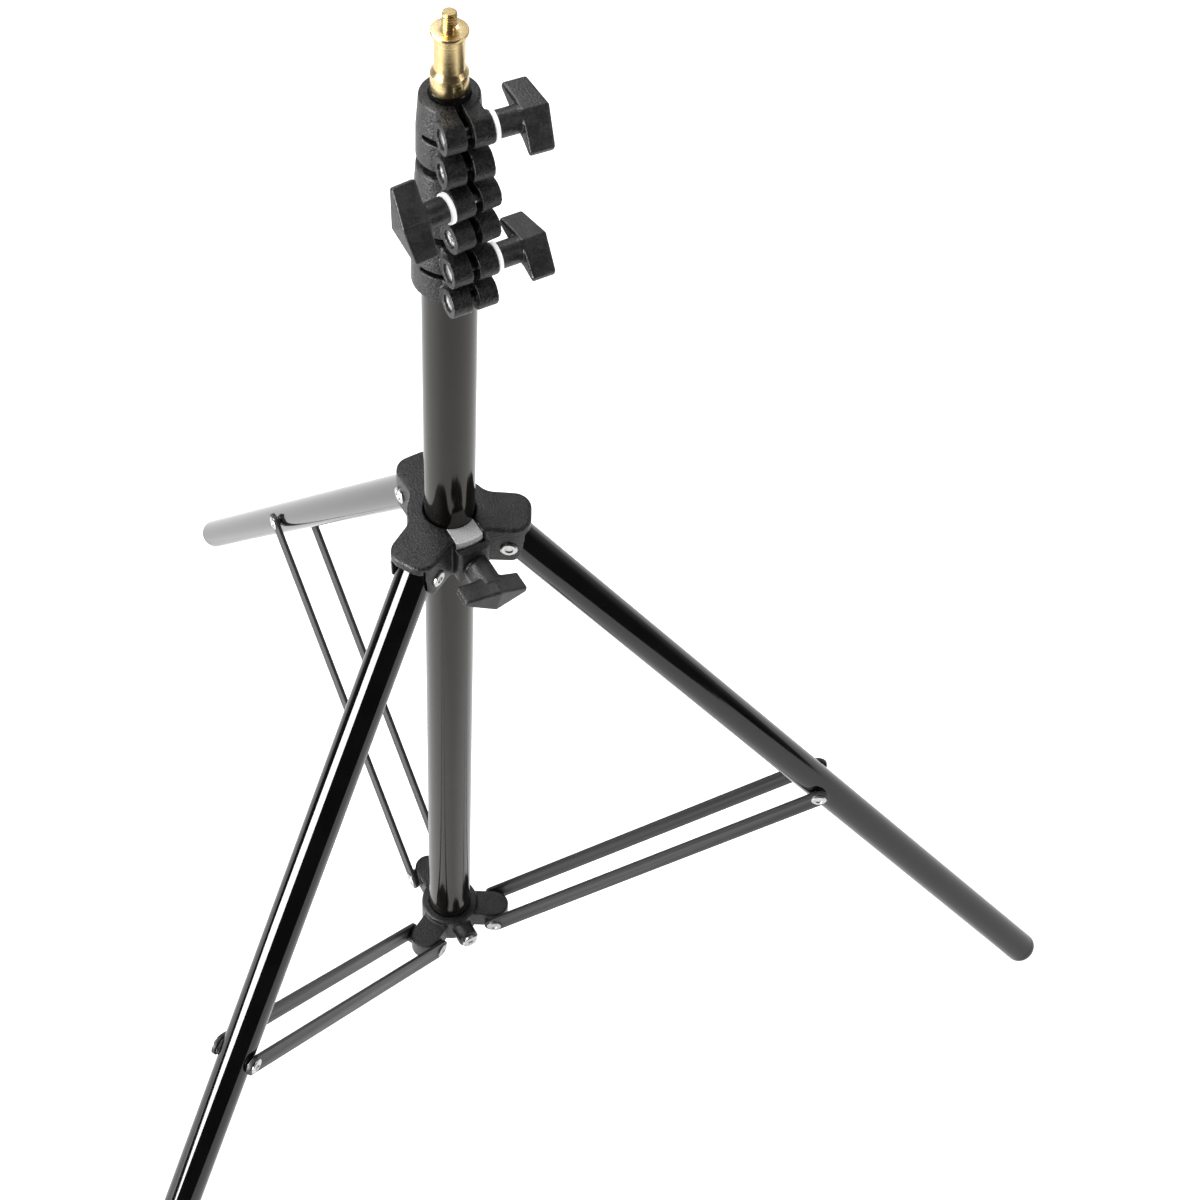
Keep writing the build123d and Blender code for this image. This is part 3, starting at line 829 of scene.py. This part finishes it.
def run_tree(name, mesh, tree, material, sizes):
    """Runs a tree on a mesh, with sizes in millimetres, and keeps the result as a plain mesh."""
    piece = to_scene(name, mesh)
    maker = piece.modifiers.new("maker", "NODES")
    maker.node_group = tree
    for item in tree.interface.items_tree:
        if item.name in sizes:
            maker[item.identifier] = sizes[item.name] * MM
        elif item.name == "Finish":
            maker[item.identifier] = material
    smooth_by_angle(applied(piece))
    return piece


def stored(flow, name, kind):
    """A named attribute of the points."""
    node = flow.tree.nodes.new("GeometryNodeInputNamedAttribute")
    node.data_type = kind
    node.inputs["Name"].default_value = name
    return Flow(flow.tree, next(socket for socket in node.outputs if socket.enabled))


def vector(flow, x=0.0, y=0.0, z=0.0):
    """A vector from values or sockets."""
    return flow.node("ShaderNodeCombineXYZ", values={"X": x, "Y": y, "Z": z})


def ring_place(flow):
    """A vertex's distance from the axis, its height and its turn."""
    spot = flow.node("GeometryNodeInputPosition")
    x, y, z = (flow.node("ShaderNodeSeparateXYZ", values={"Vector": spot}, out=i) for i in range(3))
    return (x * x + y * y).maths("SQRT", x * x + y * y), z, y.maths("ARCTAN2", y, x)


# %% The rivet tree
def rivet_tree():
    sizes = ("Head Radius", "Head Height", "Dimple Radius", "Dimple Depth", "Shank Radius")
    flow, given = new_tree("rivets", sizes)
    height, radius = given["Head Height"], given["Head Radius"]
    blank = flow.node("GeometryNodeMeshCylinder",
                      values={"Vertices": 48, "Side Segments": 3, "Fill Segments": 12,
                              "Radius": radius, "Depth": height})
    away, up, _ = ring_place(flow)
    top = up.between(height * 0.3, height * 0.45)
    rim = given["Dimple Radius"]
    dimple = away.between(rim, rim * 0.72) * given["Dimple Depth"]
    shoulder = away.between(radius * 0.82, radius) * (height * 0.42)
    drop = (dimple + shoulder) * top
    head = flow.node("GeometryNodeSetPosition",
                     values={"Geometry": blank, "Offset": vector(flow, z=height * 0.5 - drop)})
    bar = flow.node("GeometryNodeMeshCylinder",
                    values={"Vertices": 32, "Radius": given["Shank Radius"], "Depth": 1.0})
    shank = flow.node("GeometryNodeSetPosition", values={"Geometry": bar, "Offset": (0, 0, -0.5)})
    turn = flow.node("FunctionNodeAlignRotationToVector", {"axis": "Z"},
                     {"Vector": stored(flow, "facing", "FLOAT_VECTOR")})
    heads = flow.node("GeometryNodeInstanceOnPoints",
                      values={"Points": given["Points"], "Instance": head, "Rotation": turn})
    stretch = vector(flow, 1.0, 1.0, stored(flow, "reach", "FLOAT"))
    shanks = flow.node("GeometryNodeInstanceOnPoints",
                       values={"Points": given["Points"], "Instance": shank, "Rotation": turn,
                               "Scale": stretch})
    return end_tree(flow, (heads, shanks), given["Finish"])


# %% Where the rivets go
def rivet_points(name, places):
    """A mesh of loose points; each place is (point, facing, shank length) in millimetres."""
    mesh = bpy.data.meshes.new(name)
    mesh.from_pydata([tuple(point) for point, _, _ in places], [], [])
    mesh.attributes.new("facing", "FLOAT_VECTOR", "POINT")
    mesh.attributes.new("reach", "FLOAT", "POINT")
    for i, (_, way, length) in enumerate(places):
        mesh.attributes["facing"].data[i].vector = way
        mesh.attributes["reach"].data[i].value = length * MM
    return mesh


def rivet_pair(place, face, lengths, height=0.0):
    """The two heads of a rivet that lies along Y in the frame of the place."""
    pair = []
    for sign, length in zip((1, -1), lengths):
        point = place @ Vector((0, sign * face * MM, height * MM))
        pair.append((point, place.to_3x3() @ Vector((0, sign, 0)), length))
    return pair


# %% Rivets through the yoke, the base collar and the bars
rivets = rivet_tree()
large_rivet = {**rivet_head, "Shank Radius": leg_pin_r}
small_rivet = {**rivet_head, "Shank Radius": 2.5}
stub = 0.1
yoke_places = []
base_places = []
for turn in leg_turns:
    yoke_places += rivet_pair(leg_frame(turn), yoke_cheek, (2 * yoke_cheek, stub))
    base_places += rivet_pair(brace_frame(turn), bar_face, (2 * bar_face, stub))
piece = run_tree("leg_rivets", rivet_points("p", yoke_places), rivets, steel, large_rivet)
settle(piece, "yoke", "plated_steel", steel, "yoke_rivets")
piece = run_tree("foot_rivets", rivet_points("p", base_places), rivets, steel, small_rivet)
settle(piece, "mast_base", "plated_steel", steel, "base_rivets")
for number, turn in enumerate(leg_turns, start=1):
    shank = bar_face - spacer_face
    places = rivet_pair(brace_frame(turn), bar_face, (shank, shank), brace_length)
    piece = run_tree(f"bar_rivets_{number}", rivet_points("p", places), rivets, steel, small_rivet)
    settle(piece, f"brace_{number}", "plated_steel", steel, f"brace_rivets_{number}")

# %% [markdown]
# ## The stud and its thread
# The stud is turned from brass bar, so its body is lathe work from the CAD solid's own
# outline. Its tip carries a quarter-inch thread of twenty turns to the inch. A thread is a
# rule: the surface sinks by how far a point's height and turn are from the crest's helix,
# and a Geometry Nodes tree applies that to a plain cylinder.
# %% The thread tree
def thread_tree():
    flow, given = new_tree("thread", ("Radius", "Length", "Pitch", "Depth"))
    length, radius = given["Length"], given["Radius"]
    blank = flow.node("GeometryNodeMeshCylinder",
                      values={"Vertices": 64, "Side Segments": 90, "Fill Segments": 3,
                              "Radius": radius, "Depth": length})
    away, up, turn = ring_place(flow)
    phase = up.maths("DIVIDE", up, given["Pitch"]) - turn * (0.5 / math.pi)
    crest = phase.maths("FRACT", phase) - 0.5
    groove = 1 - crest.maths("ABSOLUTE", crest).between(0.06, 0.42)
    lead_in = up.between(length * 0.5 - given["Pitch"] * 1.1, length * 0.5) * (given["Depth"] * 0.6)
    sink = given["Depth"] * groove + lead_in
    share = sink.maths("DIVIDE", sink, radius) * away.between(radius * 0.5, radius)
    here = flow.node("GeometryNodeInputPosition")
    flat = flow.node("ShaderNodeVectorMath", {"operation": "MULTIPLY"},
                     {0: here, 1: vector(flow, share, share)})
    inward = flow.node("ShaderNodeVectorMath", {"operation": "SCALE"}, {0: flat, "Scale": -1.0})
    cut_form = flow.node("GeometryNodeSetPosition", values={"Geometry": blank, "Offset": inward})
    return end_tree(flow, (cut_form,), given["Finish"])


# %% Stud body and tip
stud_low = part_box("top_stud")[0].z / MM
shank_r, shank_top = 7.4, 709.3
spigot_r, spigot_top = 8.0, 717.3
groove_r, groove_low, groove_top = 6.5, 719.5, 735.6
flange_r, flange_low, flange_top, flange_edge = 7.9, 737.0, 738.4, 0.3
neck_r, neck_low, neck_top, hollow_r = 2.5, 738.0, 740.9, 3.9
stud_line = scaled([(0, stud_low), (shank_r, stud_low), (shank_r, shank_top),
                    (spigot_r, shank_top), (spigot_r, spigot_top), (groove_r, groove_low),
                    (groove_r, groove_top), (flange_r, flange_low),
                    (flange_r, flange_top - flange_edge), (flange_r - flange_edge, flange_top),
                    (hollow_r, flange_top), (neck_r, neck_low), (neck_r, neck_top), (0, neck_top)])
stud = to_scene("stud", revolve("stud", rounded(stud_line, 0.22 * MM), tube_sides))
settle(stud, "riser_3", "brass", brass, "top_stud")
thread_size = {"Radius": 3.175, "Length": stud_thread[1] - stud_thread[0], "Pitch": 1.27,
               "Depth": 0.75}
tip = run_tree("stud_thread", bpy.data.meshes.new("p"), thread_tree(), brass, thread_size)
in_place(tip, shift(0, 0, sum(stud_thread) / 2))
settle(tip, "riser_3", "brass", brass)

# %% [markdown]
# ## Small metal pieces and the bars
# Screws, nuts, washers, spacers and the flat bars have the right shapes in the CAD model,
# but every edge there is a perfect corner, which no light can catch. A merged copy with
# its flat triangles joined takes a fine bevel well, so all of them share one function.
# %% A fine bevel on a CAD copy
flat_join = math.radians(0.4)
bevel_over = 40


def bevelled_copy(name, node, width):
    """A merged copy of a CAD node with every edge bevelled by the width in millimetres."""
    mesh = merged_copy(node)
    form = bmesh.new()
    form.from_mesh(mesh)
    bmesh.ops.dissolve_limit(form, angle_limit=flat_join, verts=form.verts, edges=form.edges)
    form.to_mesh(mesh)
    form.free()
    piece = to_scene(name, mesh)
    soften = piece.modifiers.new("soften", "BEVEL")
    soften.width = width * MM
    soften.segments = 2
    soften.limit_method = "ANGLE"
    soften.angle_limit = math.radians(bevel_over)
    smooth_by_angle(applied(piece), bevel_over)
    return piece


# %% Which pieces are bevelled, and by how much
slot_finish = {"anodised_tube": anodised, "gloss_tube": gloss, "brace_paint": paint,
               "moulded_black": moulded, "knob_black": satin, "guide_nylon": nylon,
               "white_nylon": washer_white, "plated_steel": steel, "dark_steel": oxide,
               "raw_aluminium": cast, "brass": brass}
bevels = {"clamp_bolt": 0.35, "fixing_screw": 0.3, "fixing_nut": 0.3, "clamp_washer": 0.35,
          "brace_spacers": 0.2, "brace_bars": 0.3, "base_lock_screw": 0.2, "yoke_washer": 0.25}
node_slot = {row["node"]: row["material_slot"] for row in frame["record"]["subparts"]}
node_body = {node: body for body, nodes in frame["record"]["behaviour"]["bodies"].items()
             for node in nodes}
for node in sorted(node_slot):
    width = bevels.get(node.rstrip("_123"))
    if width:
        slot = node_slot[node]
        piece = bevelled_copy(f"{node}_made", node, width)
        settle(piece, node_body[node], slot, slot_finish[slot], node)

# %% [markdown]
# ## Finishes for the CAD nodes that stay
# Inner plugs, guides and threaded inserts are hidden or nearly so, and their CAD shapes
# are right as they are. They keep their meshes and only get a finish.
# %% Finishes on CAD nodes
for name, node in frame["nodes"].items():
    for slot in node.material_slots:
        slot.material = slot_finish.get(node_slot[name], steel)
